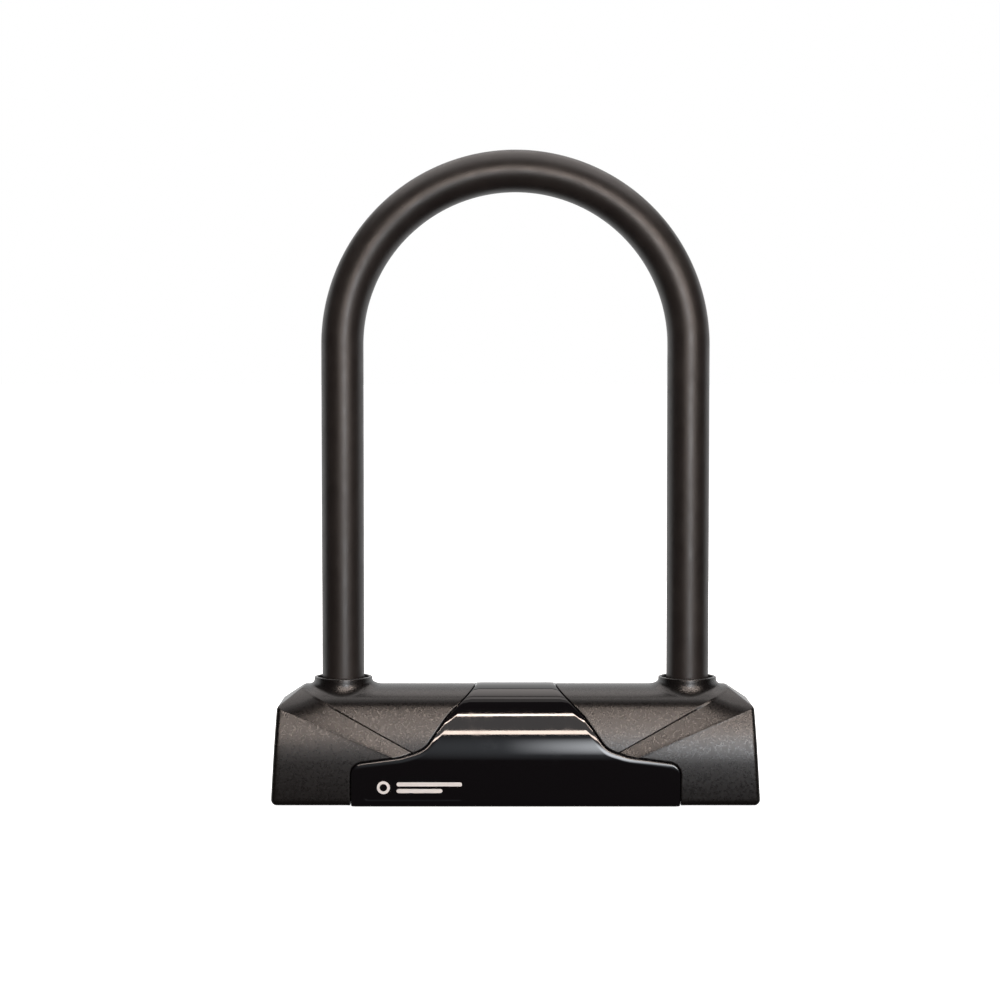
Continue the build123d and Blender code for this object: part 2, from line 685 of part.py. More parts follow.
# The bolts are the same piece turned end for end.
right_bolt = make_bolt()
with BuildPart() as left_bolt:
    add(right_bolt.part.rotate(Axis.Z, 180))
save(right_bolt, "right_bolt")
save(left_bolt, "left_bolt")
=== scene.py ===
import json
import math

import bmesh
import bpy
import numpy as np
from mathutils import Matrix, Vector
from mathutils.geometry import delaunay_2d_cdt


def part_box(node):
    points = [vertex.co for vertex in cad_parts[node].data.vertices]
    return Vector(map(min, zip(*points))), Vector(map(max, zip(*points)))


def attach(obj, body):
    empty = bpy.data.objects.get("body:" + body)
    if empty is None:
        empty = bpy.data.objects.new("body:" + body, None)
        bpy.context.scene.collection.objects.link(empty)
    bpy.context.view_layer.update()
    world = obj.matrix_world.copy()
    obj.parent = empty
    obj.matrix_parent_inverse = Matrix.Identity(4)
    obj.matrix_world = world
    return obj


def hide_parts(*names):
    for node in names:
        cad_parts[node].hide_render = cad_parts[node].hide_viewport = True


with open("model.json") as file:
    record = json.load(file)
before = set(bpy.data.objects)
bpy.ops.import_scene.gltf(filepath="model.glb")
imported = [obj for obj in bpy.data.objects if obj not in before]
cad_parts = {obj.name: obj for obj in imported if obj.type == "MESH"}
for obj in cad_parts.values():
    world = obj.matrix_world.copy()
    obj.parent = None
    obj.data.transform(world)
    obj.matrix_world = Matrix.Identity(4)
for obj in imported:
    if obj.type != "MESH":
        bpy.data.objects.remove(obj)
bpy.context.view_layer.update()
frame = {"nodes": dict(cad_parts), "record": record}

# A U lock: a sleeved shackle stands in a crossbar clad with two grained end covers and a gloss middle band.
# Shapes are worked out in millimetres, in the CAD's frame, and scaled to metres as each mesh is made.
MM = 0.001


def node_box(node):
    """Lowest and highest corners of a CAD node, in millimetres."""
    low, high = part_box(node)
    return np.array(low) / MM, np.array(high) / MM


SLEEVE_LOW, SLEEVE_HIGH = node_box("shackle_sleeve")
SEAL_LOW, SEAL_HIGH = node_box("right_collar_seal")
COVER_LOW, COVER_HIGH = node_box("right_cover")
BAND_LOW, BAND_HIGH = node_box("centre_cover")
BEZEL_HIGH = node_box("keyway_bezel")[1]
BAR_HIGH = node_box("shackle_bar")[1]

# Casing section: crown, shoulder, the front above the waist, the tuck below it, and the bottom edge
BAND_PROUD = 0.5
HALF_DEPTH = BAND_HIGH[1] - BAND_PROUD
CREST_Z = BAND_HIGH[2] - BAND_PROUD
WAIST_Z = 20.0
FRONT_R = 85.6
SHOULDER_R = 9.0
CROWN_R = 29.1
BOTTOM_R = 2.5
TUCK_R = 220.0
COVER_FLOOR = COVER_LOW[2]
WALL = 1.8
UNDERSIDE_RUN = 22.0

# The band's edge goes down by the ledge, and a tongue runs on from there under the cover
LEDGE = 1.9
TONGUE = 2.5
TONGUE_GAP = 0.2

# The bezel's opening in the band
BEZEL_LIP = 2.5
MOUTH_GAP = 0.1

# Seam between band and covers, seen from the front as points and corner radii, and its edges
SEAM_TOP = (10.0, 63.0)
SEAM_CORNERS = [((31.5, 41.5), 40.0), ((41.6, 26.6), 12.0), ((52.0, 23.0), 25.0), ((75.5, 19.8), 5.5)]
SEAM_GAP = 0.35
SEAM_STEP = 0.7
CREST_RUN = 12
BAND_EDGE_R = 0.45
COVER_EDGE_R = 0.35
RIM_WIDTH = 2.4
RIM_DROP = 0.15
RIM_POWER = 1.4

# End of a cover: its outline from the front, its edge, and the heights where the end face bends
END_X = 112.5
END_TOP = (109.7, 45.6)
END_CREST = (87.3, 62.0)
END_CORNER_R = 3.0
END_EDGE_R = 2.2
END_BENDS = (1, 1.6, 2.4, 3.4, 43.4, 44.2, 45, 45.8, 46.6)

# Facet on a cover, seen from the front: its upper crease leaves the crest corner, its lower one the end's top
CREST_CORNER = (98.5, 53.8)
CREASE_SEAM_HIGH = (47.0, 25.5)
CREASE_SEAM_LOW = (56.0, 23.0)
FACET_STEP = 1.7
STEP_START = -0.05
STEP_WIDTH = 0.8
RIDGE_HEIGHT = 0.05
RIDGE_WIDTH = 0.35

# Collar, and its flare's reach past its wall to the front, the inner side and the outer side
LEG_X = (SEAL_LOW[0] + SEAL_HIGH[0]) / 2
COLLAR_R = 13.5
COLLAR_HOLE_R = 12.0
COLLAR_TOP = COVER_HIGH[2]
COLLAR_HOLE_LOW = 46.4
LIP_R = 0.5
FOOT_FRONT = 2.2
FOOT_INNER = 5.0
FOOT_OUTER = 2.9
FLARE_RISE = 0.8
FLARE_PULL = 0.75

# Screw's hole in the underside
SCREW_X = 96.0
SCREW_HOLE_R = 3.2

# Sleeve
SLEEVE_END_R = 0.6
SLEEVE_BORE_GAP = 0.02
SLEEVE_BORE_DEPTH = 6.0

# Print and bead on the band, seen from the front
PRINT_Z = 9.3
PRINT_LIFT = 0.03
RING_X = -60.5
RING_R = 3.0
RING_HOLE_R = 1.7
STRIPE_X = -54.5
STRIPE_ASIDE = 1.55
STRIPE_HEIGHT = 1.9
STRIPE_LENGTHS = (30.0, 21.0)
BEAD_START = (-21.0, 3.2)
BEAD_CORNER = (-70.3, 3.2)
BEAD_CORNER_R = 3.0
BEAD_END = (-70.3, 15.0)
BEAD_HALF_WIDTH = 0.35
BEAD_HEIGHT = 0.05
BEAD_SINK = 0.01
BEAD_TAPER = 5

# Studio
LIGHT_DISTANCE = 2.3
CAMERA_PLACE = (-0.00713, -1.15824, 0.20073)
CAMERA_TIP = 3


# ------------------------------------------------------------------------------- curves in a plane


def arc_points(centre, radius, start, end, step=0.05):
    """Points along an arc, from one angle to another, in radians."""
    count = max(3, int(abs(end - start) * radius / step))
    angles = np.linspace(start, end, count)
    return np.column_stack([centre[0] + radius * np.cos(angles), centre[1] + radius * np.sin(angles)])


def line_points(a, b, step=0.05):
    """Points along a straight line."""
    a, b = np.array(a, float), np.array(b, float)
    count = max(2, int(np.linalg.norm(b - a) / step))
    return a + (b - a) * np.linspace(0, 1, count)[:, None]


def joined(pieces):
    """One line of points from several that follow each other."""
    points = np.vstack(pieces)
    gaps = np.linalg.norm(np.diff(points, axis=0), axis=1)
    return points[np.concatenate([[True], gaps > 1e-6])]


def lengths(points):
    """Distance along a line of points to each of them."""
    return np.concatenate([[0], np.cumsum(np.linalg.norm(np.diff(points, axis=0), axis=1))])


def resampled(points, step):
    """The same line, with its points a step apart."""
    along = lengths(points)
    marks = np.linspace(0, along[-1], max(2, int(along[-1] / step) + 1))
    return np.column_stack([np.interp(marks, along, points[:, axis]) for axis in range(points.shape[1])])


def rounded_line(start, corners, end, step=0.1):
    """A line from start to end through corners, each (point, radius), with every corner rounded off."""
    stations = [np.array(start, float)]
    pieces = []
    knots = [np.array(point, float) for point, _ in corners] + [np.array(end, float)]
    for corner, after, (_, radius) in zip(knots, knots[1:], corners):
        before = stations[-1]
        come = (corner - before) / np.linalg.norm(corner - before)
        leave = (after - corner) / np.linalg.norm(after - corner)
        turn = math.acos(np.clip(come @ leave, -1, 1))
        side = math.copysign(1, come[0] * leave[1] - come[1] * leave[0])
        trim = radius * math.tan(turn / 2)
        first = corner - come * trim
        centre = first + side * radius * np.array([-come[1], come[0]])
        angle = math.atan2(*(first - centre)[::-1])
        pieces.append(line_points(before, first, step))
        pieces.append(arc_points(centre, radius, angle, angle + side * turn, step))
        stations.append(pieces[-1][-1])
    pieces.append(line_points(stations[-1], end, step))
    return joined(pieces)


def tangents(points, *spacing):
    """Unit tangents along a line of points."""
    tangent = np.gradient(points, *spacing, axis=0)
    return tangent / np.linalg.norm(tangent, axis=1)[:, None]


def offset_line(points, distance):
    """The line moved to its left by distance. The left of the seam is towards the crossbar's middle."""
    tangent = tangents(points)
    return points + distance * np.column_stack([-tangent[:, 1], tangent[:, 0]])


def distance_to_line(points, line):
    """Shortest distance from each point to a line of points."""
    start, along = line[:-1], np.diff(line, axis=0)
    squared = (along**2).sum(axis=1)
    nearest = np.full(len(points), np.inf)
    for first in range(0, len(points), 2000):
        part = points[first : first + 2000, None, :] - start[None]
        share = np.clip((part * along[None]).sum(axis=2) / squared, 0, 1)
        gap = part - share[..., None] * along[None]
        nearest[first : first + 2000] = np.sqrt((gap**2).sum(axis=2).min(axis=1))
    return nearest


def inside(points, outline):
    """Whether each point is inside a closed outline."""
    x, y = points[:, 0][:, None], points[:, 1][:, None]
    x0, y0 = outline[:, 0], outline[:, 1]
    x1, y1 = np.roll(x0, -1), np.roll(y0, -1)
    crosses = (y0 > y) != (y1 > y)
    rise = np.where(y1 == y0, 1e-12, y1 - y0)
    return (crosses & (x < (x1 - x0) * (y - y0) / rise + x0)).sum(axis=1) % 2 == 1


def filled(outline, features, spacing):
    """Triangles inside a closed outline. Its edges and those of the feature lines are kept."""
    fixed = [np.vstack([outline, outline[:1]])] + features
    flat, edges = [], []
    for line in fixed:
        first = len(flat)
        flat.extend(line)
        edges.extend((first + i, first + i + 1) for i in range(len(line) - 1))
    flat = np.array(flat)
    low, high = outline.min(axis=0), outline.max(axis=0)
    # Staggered rows, for near-equilateral triangles between the lines
    rows = np.arange(low[1] + spacing / 2, high[1], spacing * 0.87)
    grid = []
    for number, row in enumerate(rows):
        across = np.arange(low[0] + spacing * (0.5 if number % 2 else 1.0), high[0], spacing)
        grid.extend((x, row) for x in across)
    grid = np.array(grid)
    grid = grid[inside(grid, outline)]
    clear = np.full(len(grid), True)
    for first in range(0, len(grid), 1000):
        part = grid[first : first + 1000]
        gap = np.linalg.norm(part[:, None] - flat[None], axis=2).min(axis=1)
        clear[first : first + 1000] = gap > spacing * 0.55
    points = [Vector(point) for point in np.vstack([flat, grid[clear]])]
    made = delaunay_2d_cdt(points, edges, [], 0, 1e-5)
    vertices = np.array([tuple(point) for point in made[0]])
    faces = [face for face in made[2] if len(face) == 3]
    centres = np.array([vertices[list(face)].mean(axis=0) for face in faces])
    kept = inside(centres, outline)
    return vertices, [face for face, keep in zip(faces, kept) if keep]


# ---------------------------------------------------------------------------- the casing's section


class Section:
    """Half the casing's section, by the distance s from the crest, down the front, to the middle below."""

    def __init__(self, grow, floor):
        depth = HALF_DEPTH + grow
        front_r, shoulder_r, crown_r = FRONT_R + grow, SHOULDER_R + grow, CROWN_R + grow
        front = np.array([depth - front_r, WAIST_Z])
        crown = np.array([0, CREST_Z + grow - crown_r])
        shoulder = self.circles_meet(front, front_r - shoulder_r, crown, crown_r - shoulder_r)
        high = math.atan2(*(shoulder - crown)[::-1])
        low = math.atan2(*(shoulder - front)[::-1])
        tuck = np.array([depth - TUCK_R, WAIST_Z])
        turn = -math.asin((WAIST_Z - floor - BOTTOM_R) / (TUCK_R - BOTTOM_R))
        corner = (tuck[0] + (TUCK_R - BOTTOM_R) * math.cos(turn), floor + BOTTOM_R)
        points = joined(
            [
                arc_points(crown, crown_r, math.pi / 2, high),
                arc_points(shoulder, shoulder_r, high, low),
                arc_points(front, front_r, low, 0),
                arc_points(tuck, TUCK_R, 0, turn),
                arc_points(corner, BOTTOM_R, turn, -math.pi / 2),
                line_points((corner[0], floor), (0, floor)),
            ]
        )
        self.points = points
        self.s = lengths(points)
        self.length = self.s[-1]
        self.tangent = tangents(points, self.s)
        self.normal = np.column_stack([-self.tangent[:, 1], self.tangent[:, 0]])
        falling = np.concatenate([[True], np.diff(points[:, 1]) < -1e-9])
        self.z_rows = (points[falling, 1][::-1], self.s[falling][::-1])
        widening = points[:, 1] > WAIST_Z
        self.out_rows = (points[widening, 0], self.s[widening])

    @staticmethod
    def circles_meet(a, a_radius, b, b_radius):
        """The upper of the two points where two circles cross."""
        gap = np.linalg.norm(b - a)
        along = (gap**2 + a_radius**2 - b_radius**2) / (2 * gap)
        aside = math.sqrt(a_radius**2 - along**2)
        unit = (b - a) / gap
        both = [a + unit * along + side * aside * np.array([-unit[1], unit[0]]) for side in (1, -1)]
        return max(both, key=lambda point: point[1])

    def at(self, s, rows):
        """The section's points, tangents or normals at distances s."""
        return np.column_stack([np.interp(s, self.s, rows[:, axis]) for axis in (0, 1)])

    def raised(self, x, s, height):
        """Points of the front side in space, at x and s, a height off the section."""
        base = self.at(s, self.points) + self.at(s, self.normal) * np.reshape(height, (-1, 1))
        return np.column_stack([x, -base[:, 0], base[:, 1]])

    def s_at_height(self, z):
        """Distances s at heights z on the front."""
        return np.interp(z, *self.z_rows)

    def s_at_depth(self, out):
        """Distances s above the waist, at distances out from the middle plane."""
        return np.interp(out, *self.out_rows)


BAND_SECTION = Section(BAND_PROUD, BAND_LOW[2])
COVER_SECTION = Section(0, COVER_FLOOR)
SEAM = rounded_line(SEAM_TOP, SEAM_CORNERS, (SEAM_CORNERS[-1][0][0], -5.0))


def seam_on(section):
    """The seam unrolled on a section: x against s, from the crest to the underside."""
    # Near the crest the height hardly changes, so the marks are evenly spaced there
    heights = SEAM[::-1, 1]
    marks = section.s_at_height(np.clip(SEAM[:, 1], None, CREST_Z))
    marks = marks[(marks > CREST_RUN) & (marks < section.length)]
    marks = np.unique(np.concatenate([np.linspace(0, CREST_RUN, 25), marks, [section.length]]))
    z = section.at(marks, section.points)[:, 1]
    line = np.column_stack([np.interp(z, heights, SEAM[::-1, 0]), marks])
    return resampled(line, SEAM_STEP)


def cover_seam():
    """The covers' side of the seam, unrolled, a gap away from the band's."""
    line = offset_line(seam_on(COVER_SECTION), -SEAM_GAP)
    line[0, 1], line[-1, 1] = 0, COVER_SECTION.length
    return line


BAND_SEAM = seam_on(BAND_SECTION)
COVER_SEAM = cover_seam()


def beside_seam(seam, distance, section):
    """A seam moved towards the crossbar's middle by distance, and kept within the section's length."""
    line = offset_line(seam, distance)
    line[:, 1] = np.clip(line[:, 1], 0, section.length)
    return line


def edge_drop(distance, radius):
    """How far a rounded edge lies below the surface, at a distance in from it."""
    reach = np.clip(radius - distance, 0, radius)
    return radius - np.sqrt(radius**2 - reach**2)


# ---------------------------------------------------------------------------------- making a piece


def quads(rows, count, closed=False):
    """Faces between rows of count points that run alongside each other. Closed rows are rings."""
    steps = range(count if closed else count - 1)
    faces = []
    for row in range(rows - 1):
        here, above = row * count, (row + 1) * count
        faces.extend((here + i, here + (i + 1) % count, above + (i + 1) % count, above + i) for i in steps)
    return faces


class Shell:
    """Gathers patches of surface into one mesh object."""

    def __init__(self, name):
        self.name = name
        self.vertices, self.faces = [], []

    def add(self, points, faces, flip=False):
        """Adds a patch, its faces turned round if flipped."""
        first = len(self.vertices)
        self.vertices.extend(map(tuple, points))
        for face in faces:
            self.faces.append(tuple(first + i for i in (face[::-1] if flip else face)))

    def both_sides(self, points, faces):
        """Adds a patch of the front, and its mirror image at the back."""
        self.add(points, faces)
        self.add(np.array(points) * (1, -1, 1), faces, flip=True)

    def strip(self, rows):
        """Adds the surface between rows of points, at the front and at the back."""
        self.both_sides(np.vstack(rows), quads(len(rows), len(rows[0])))

    def build(self, material, body, node, mirror_x=False):
        """Welds the patches, turns their faces outwards and makes the object."""
        points = np.array(self.vertices) * MM
        if mirror_x:
            points = points * (-1, 1, 1)
        mesh = bpy.data.meshes.new(self.name)
        mesh.from_pydata(points.tolist(), [], self.faces)
        work = bmesh.new()
        work.from_mesh(mesh)
        bmesh.ops.remove_doubles(work, verts=work.verts, dist=4e-6)
        bmesh.ops.dissolve_degenerate(work, dist=1e-7, edges=work.edges)
        bmesh.ops.recalc_face_normals(work, faces=work.faces)
        highest = max(work.faces, key=lambda face: face.calc_center_median().z)
        if highest.normal.z < 0:
            bmesh.ops.reverse_faces(work, faces=work.faces)
        work.to_mesh(mesh)
        work.free()
        finished(mesh, material, body, node)


def finished(mesh, material, body, node):
    """Makes a smooth-shaded object of a mesh. It rides on its body, in place of its CAD node if it has one."""
    mesh.polygons.foreach_set("use_smooth", [True] * len(mesh.polygons))
    mesh.set_sharp_from_angle(angle=math.radians(40))
    mesh.materials.append(material)
    piece = bpy.data.objects.new(mesh.name, mesh)
    bpy.context.scene.collection.objects.link(piece)
    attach(piece, body)
    if node:
        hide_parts(node)


# ---------------------------------------------------------------------------------------- the band


def band_surface(flat, lift=0.0):
    """Places unrolled points, x and s, on the band. Its rim rolls off towards the seam."""
    x, s = flat[:, 0], flat[:, 1]
    apart = distance_to_line(np.column_stack([np.abs(x), s]), BAND_SEAM)
    roll = RIM_DROP * np.clip(1 - apart / RIM_WIDTH, 0, 1) ** RIM_POWER
    return BAND_SECTION.raised(x, s, lift - roll - edge_drop(apart, BAND_EDGE_R))


def make_band(material):
    """Gloss band round the middle of the crossbar, with the bezel's opening underneath."""
    seam, end = BAND_SEAM, BAND_SECTION.length
    half_x, half_y = BEZEL_HIGH[:2] - BEZEL_LIP + MOUTH_GAP
    left = seam[::-1] * (-1, 1)
    mouth = [(half_x, end), (half_x, end - half_y), (-half_x, end - half_y), (-half_x, end)]
    mouth = joined([line_points(a, b, 1.0) for a, b in zip(mouth, mouth[1:])])
    to_mouth = line_points(seam[-1], mouth[0], 1.0)
    from_mouth = line_points(mouth[-1], left[0], 1.0)
    crest = line_points(left[-1], seam[0], 1.0)[:-1]
    outline = joined([seam, to_mouth, mouth, from_mouth, left, crest])
    features = []
    for distance in (0.05, 0.14, 0.27, BAND_EDGE_R, 0.9, 1.5, 2.0, RIM_WIDTH, 2.7, 3.4):
        line = beside_seam(seam, distance, BAND_SECTION)
        features += [line, line * (-1, 1)]
    shell = Shell("gloss_band")
    flat, faces = filled(outline, features, 1.0)
    shell.both_sides(band_surface(flat), faces)
    tongue = beside_seam(seam, -TONGUE, BAND_SECTION)
    tongue_depth = LEDGE + TONGUE_GAP
    for side in (1, -1):
        near, far = seam * (side, 1), tongue * (side, 1)
        rows = [band_surface(near, -depth) for depth in (0, LEDGE / 2, LEDGE, tongue_depth)]
        rows.append(BAND_SECTION.raised(far[:, 0], far[:, 1], -tongue_depth))
        shell.strip(rows)
    shell.strip([band_surface(mouth, -depth) for depth in (0, WALL / 2, WALL)])
    shell.build(material, "crossbar", "centre_cover")


# ---------------------------------------------------------------------------------- the end covers


def facet_position(x, z):
    """Where front-view points lie on the facet.

    Gives the share along it, from 0 at the end, the share across it, from 0 at the lower crease, its width,
    and the points of the two creases beside it.
    """
    a, b = np.array(CREST_CORNER), np.array(END_TOP)
    c, d = np.array(CREASE_SEAM_LOW), np.array(CREASE_SEAM_HIGH)
    upper, lower = d - a, c - b
    point = np.column_stack([x, z])
    along = np.clip((b[0] - x) / (b[0] - c[0]), -0.2, 1.5)
    # Newton's method for the share along both creases whose ruling passes through the point
    for _ in range(12):
        low = b + along[:, None] * lower
        ruling = a + along[:, None] * upper - low
        rest = point - low
        off = ruling[:, 0] * rest[:, 1] - ruling[:, 1] * rest[:, 0]
        turn = upper - lower
        slope = turn[0] * rest[:, 1] - turn[1] * rest[:, 0]
        slope = slope - ruling[:, 0] * lower[1] + ruling[:, 1] * lower[0]
        along = np.clip(along - off / np.where(np.abs(slope) < 1e-6, 1e-6, slope), -0.4, 1.8)
    low = b + along[:, None] * lower
    ruling = a + along[:, None] * upper - low
    width = np.linalg.norm(ruling, axis=1)
    across = ((point - low) * ruling).sum(axis=1) / width**2
    return along, across, width, low, low + ruling


def facet_cut(x, z, out):
    """How far the facet lies behind the plain casing, at a front-view point."""
    along, across, width, low, high = facet_position(x, z)

    def depth_at(height):
        s = COVER_SECTION.s_at_height(np.clip(height, None, CREST_Z))
        return COVER_SECTION.at(s, COVER_SECTION.points)[:, 0]

    step = FACET_STEP * np.clip((along - STEP_START) / (1 - STEP_START), 0, 1.2)
    ruled = (1 - across) * depth_at(low[:, 1]) + across * (depth_at(high[:, 1]) - step)
    cut = np.clip(out - ruled, 0, None)
    fade = np.clip((1 - across) * width / STEP_WIDTH, 0, 1)
    within = (across > 0) & (across < 1) & (z > WAIST_Z)
    ridge = RIDGE_HEIGHT * np.exp(-((across * width / RIDGE_WIDTH) ** 2)) * (np.abs(along - 0.5) < 0.5)
    return np.where(within, cut * fade, 0) - ridge


def cover_surface(flat, lift=0.0):
    """Places unrolled points, x and s, on the right cover."""
    x, s = flat[:, 0], flat[:, 1]
    base = COVER_SECTION.at(s, COVER_SECTION.points)
    drop = edge_drop(distance_to_line(flat, COVER_SEAM), COVER_EDGE_R)
    placed = COVER_SECTION.raised(x, s, lift - drop)
    placed[:, 1] += facet_cut(x, base[:, 1], base[:, 0])
    return placed


def end_curve():
    """The cover's end seen from the front, from the underside up to the crest, with its outward normals."""
    corners = [((END_X, COVER_FLOOR), END_CORNER_R), (END_TOP, END_CORNER_R)]
    points = rounded_line((100.0, COVER_FLOOR), corners, END_CREST, 0.05)
    points = points[points[:, 1] > COVER_FLOOR + 1e-7]
    tangent = tangents(points)
    return points, np.column_stack([tangent[:, 1], -tangent[:, 0]])


def foot_curve(count=97):
    """Where the collar's flare meets the casing, from its outer side round the front to its inner side."""
    angle = np.linspace(0, math.pi, count)
    side_reach = np.where(np.cos(angle) > 0, FOOT_OUTER, FOOT_INNER)
    radius = COLLAR_R + (FOOT_FRONT + (side_reach - FOOT_FRONT) * np.cos(angle) ** 2)
    out = radius * np.sin(angle)
    flat = np.column_stack([LEG_X + radius * np.cos(angle), COVER_SECTION.s_at_depth(out)])
    flat[[0, -1], 1] = 0
    return angle, flat


def crease_lines():
    """Lines along both creases, a little to each side of them, unrolled."""
    lines = []
    pairs = (
        (END_TOP, CREASE_SEAM_LOW, (-0.8, -0.4, -0.2, 0.0, 0.2, 0.4, 0.8)),
        (CREST_CORNER, CREASE_SEAM_HIGH, (0.5, 0.2, 0.0, -STEP_WIDTH, -STEP_WIDTH - 0.25)),
    )
    for start, end, offsets in pairs:
        start, end = np.array(start), np.array(end)
        run = end - start
        unit = run / np.linalg.norm(run)
        across = np.array([unit[1], -unit[0]])
        across = across if across[1] > 0 else -across
        for offset in offsets:
            line = line_points(start - unit * 4, end + unit * 14, 1.0) + across * offset
            line = line[(line[:, 1] < CREST_Z - 0.3) & (line[:, 1] > WAIST_Z)]
            lines.append(np.column_stack([line[:, 0], COVER_SECTION.s_at_height(line[:, 1])]))
    return lines


def end_edge():
    """The rounded edge between casing and end: its unrolled start, and rows of points over the rounding."""
    end_points, end_normals = end_curve()
    length = COVER_SECTION.length
    # Fewer rows along the flat underside
    bottom = length - UNDERSIDE_RUN
    marks = np.unique(np.concatenate([np.linspace(0, bottom, 150), np.linspace(bottom, length, 20)]))
    z = COVER_SECTION.at(marks, COVER_SECTION.points)[:, 1]

    def on_end(rows, height):
        return np.interp(height, end_points[:, 1], rows)

    flat = np.column_stack([on_end(end_points[:, 0], z), marks])
    step = 0.02
    corner = cover_surface(flat)
    along_x = cover_surface(flat - (step, 0)) - corner
    forward = np.minimum(marks + step, length)
    along_s = cover_surface(np.column_stack([flat[:, 0], forward]))
    along_s -= cover_surface(np.column_stack([flat[:, 0], np.maximum(forward - step, 0)]))
    side = np.cross(along_x, along_s)
    side /= np.linalg.norm(side, axis=1)[:, None]
    face = np.column_stack([on_end(end_normals[:, 0], z), np.zeros(len(z)), on_end(end_normals[:, 1], z)])
    face /= np.linalg.norm(face, axis=1)[:, None]
    both = np.clip((side * face).sum(axis=1), -1, 1)
    half = np.arccos(both) / 2
    reach = END_EDGE_R * np.tan(half)

    def unit(rows):
        size = np.linalg.norm(rows, axis=1)
        return rows / np.where(size < 1e-6, 1, size)[:, None]

    back = unit(-face + both[:, None] * side)
    across = unit(-side + both[:, None] * face)
    slope = COVER_SECTION.at(marks, COVER_SECTION.tangent)
    down = np.column_stack([np.zeros(len(z)), -slope[:, 0], slope[:, 1]])
    start = flat + np.column_stack([back[:, 0] * reach, (back * down).sum(axis=1) * reach])
    start[:, 1] = np.clip(np.maximum.accumulate(start[:, 1]), 0, length)
    start[0, 1] = 0
    start[-1, 1] = length
    first = cover_surface(start)
    last = corner + across * reach[:, None]
    last[:, 1] = np.minimum(last[:, 1], 0)
    last[0, 1] = last[-1, 1] = 0
    last[:, 0] = on_end(end_points[:, 0], last[:, 2])
    rows = []
    for share in np.linspace(0, 1, 9):
        weights = [(1 - share) ** 2, 2 * share * (1 - share), share**2]
        pull = weights[1] * np.cos(half)
        total = weights[0] + pull + weights[2]
        rows.append((first * weights[0] + corner * pull[:, None] + last * weights[2]) / total[:, None])
    return start, rows


def collar_rows(angle, foot):
    """Rows up the collar's flare and wall, over its lip and down its hole."""
    direction = np.column_stack([np.cos(angle), -np.sin(angle)])

    def ring(radius, z):
        flat = direction * np.reshape(radius, (-1, 1))
        return np.column_stack([LEG_X + flat[:, 0], flat[:, 1], z * np.ones(len(angle))])

    out = COLLAR_R * np.sin(angle)
    root_z = COVER_SECTION.at(COVER_SECTION.s_at_depth(out), COVER_SECTION.points)[:, 1]
    root = ring(COLLAR_R, root_z)
    wall_low = ring(COLLAR_R, root_z + FLARE_RISE * (COLLAR_TOP - LIP_R - 0.2 - root_z))
    rows = []
    for share in np.linspace(0, 1, 11):
        pull = 2 * share * (1 - share) * FLARE_PULL
        total = (1 - share) ** 2 + pull + share**2
        rows.append((foot * (1 - share) ** 2 + root * pull + wall_low * share**2) / total)
    rows.append(ring(COLLAR_R, COLLAR_TOP - LIP_R))
    for turn in np.radians((18, 36, 54, 72, 90)):
        inward, drop = LIP_R * (1 - math.cos(turn)), LIP_R * (1 - math.sin(turn))
        rows.append(ring(COLLAR_R - inward, COLLAR_TOP - drop))
    inner = LIP_R * 0.7
    rows.append(ring(COLLAR_HOLE_R + inner, COLLAR_TOP))
    for turn in np.radians((30, 60, 90)):
        outward, drop = inner * (1 - math.sin(turn)), inner * (1 - math.cos(turn))
        rows.append(ring(COLLAR_HOLE_R + outward, COLLAR_TOP - drop))
    for z in np.linspace(COLLAR_TOP - 2, COLLAR_HOLE_LOW, 5):
        rows.append(ring(COLLAR_HOLE_R, z))
    return rows


def make_cover(name, material, node, mirror_x):
    """Grained end cover: casing, facet, rounded end, collar, and the screw's hole underneath."""
    seam, length = COVER_SEAM, COVER_SECTION.length
    start, edge_rows = end_edge()
    angle, foot = foot_curve()
    hole = arc_points((SCREW_X, length), SCREW_HOLE_R, math.pi, 2 * math.pi, 0.5)
    to_hole = line_points(seam[-1], hole[0], 1.0)
    from_hole = line_points(hole[-1], start[-1], 1.0)
    crest = line_points(foot[-1], seam[0], 1.0)[:-1]
    outline = joined([seam, to_hole, hole, from_hole, start[::-1], foot, crest])
    features = crease_lines()
    features += [beside_seam(seam, -distance, COVER_SECTION) for distance in (0.05, 0.15, COVER_EDGE_R, 0.8)]
    shell = Shell(name)
    flat, faces = filled(outline, features, 1.2)
    shell.both_sides(cover_surface(flat), faces)
    shell.strip([cover_surface(seam, -depth) for depth in (0, 0.6, 1.2)])
    shell.strip([cover_surface(hole, -depth) for depth in (0, WALL)])
    shell.strip(edge_rows)
    shell.strip(collar_rows(angle, cover_surface(foot)))
    rim = edge_rows[-1]
    end_points = end_curve()[0]
    outline = joined([rim[:, 1:], line_points(rim[-1, 1:], rim[0, 1:], 1.0)[:-1]])
    bends = [line_points((-30, z), (5, z), 1.5) for z in END_BENDS]
    flat, faces = filled(outline, bends, 1.8)
    placed = np.column_stack([np.interp(flat[:, 1], end_points[:, 1], end_points[:, 0]), flat])
    shell.both_sides(placed, faces)
    shell.build(material, "crossbar", node, mirror_x)


# ---------------------------------------------------------------------------- the shackle's sleeve


